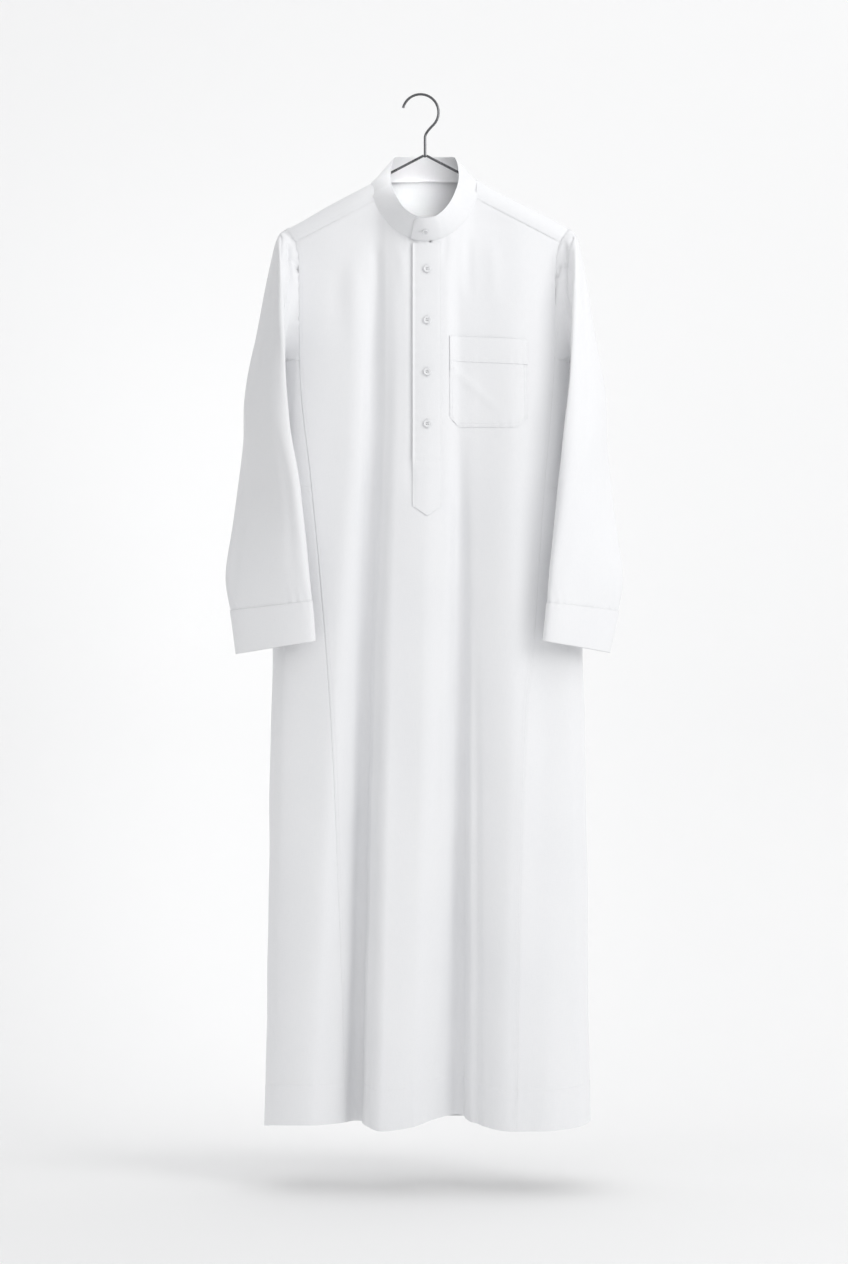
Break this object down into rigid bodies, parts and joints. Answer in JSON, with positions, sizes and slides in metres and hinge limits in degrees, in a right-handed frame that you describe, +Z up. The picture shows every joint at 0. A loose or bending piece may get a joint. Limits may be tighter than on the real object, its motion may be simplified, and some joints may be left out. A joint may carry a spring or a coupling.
{
  "type": "thobe robe on a wire hanger",
  "caption": "Ankle-length white robe with a stand collar, half placket, chest pocket, side gores and long cuffed sleeves, hanging from a plain steel wire hanger.",
  "frame": {"origin": "the point inside the crown of the hanger's hook that bears on the rail", "axes": "+Z up along the robe's length, the front faces -Y, +X to the right of someone who looks at the front"},
  "size_m": [0.616, 0.1664, 1.6028],
  "materials": {
    "shirting": "white plain-weave shirting, soft matt with a faint lustre",
    "button": "white four-hole shirt button, low gloss",
    "steel_wire": "drawn steel wire, satin"
  },
  "bodies": {
    "root": {"front": "shirting", "back": "shirting", "yoke": "shirting", "gusset_left": "shirting", "gusset_right": "shirting", "gore_left": "shirting", "gore_right": "shirting", "sleeve_left": "shirting", "sleeve_right": "shirting", "cuff_left": "shirting", "cuff_right": "shirting", "collar": "shirting", "placket": "shirting", "button_stand": "shirting", "pocket": "shirting", "pocket_band": "shirting", "button_1": "button", "button_2": "button", "button_3": "button", "button_4": "button", "collar_button": "button", "hanger_hook": "steel_wire", "hanger_arm_left": "steel_wire", "hanger_arm_right": "steel_wire", "hanger_bar": "steel_wire"}
  },
  "joints": []
}
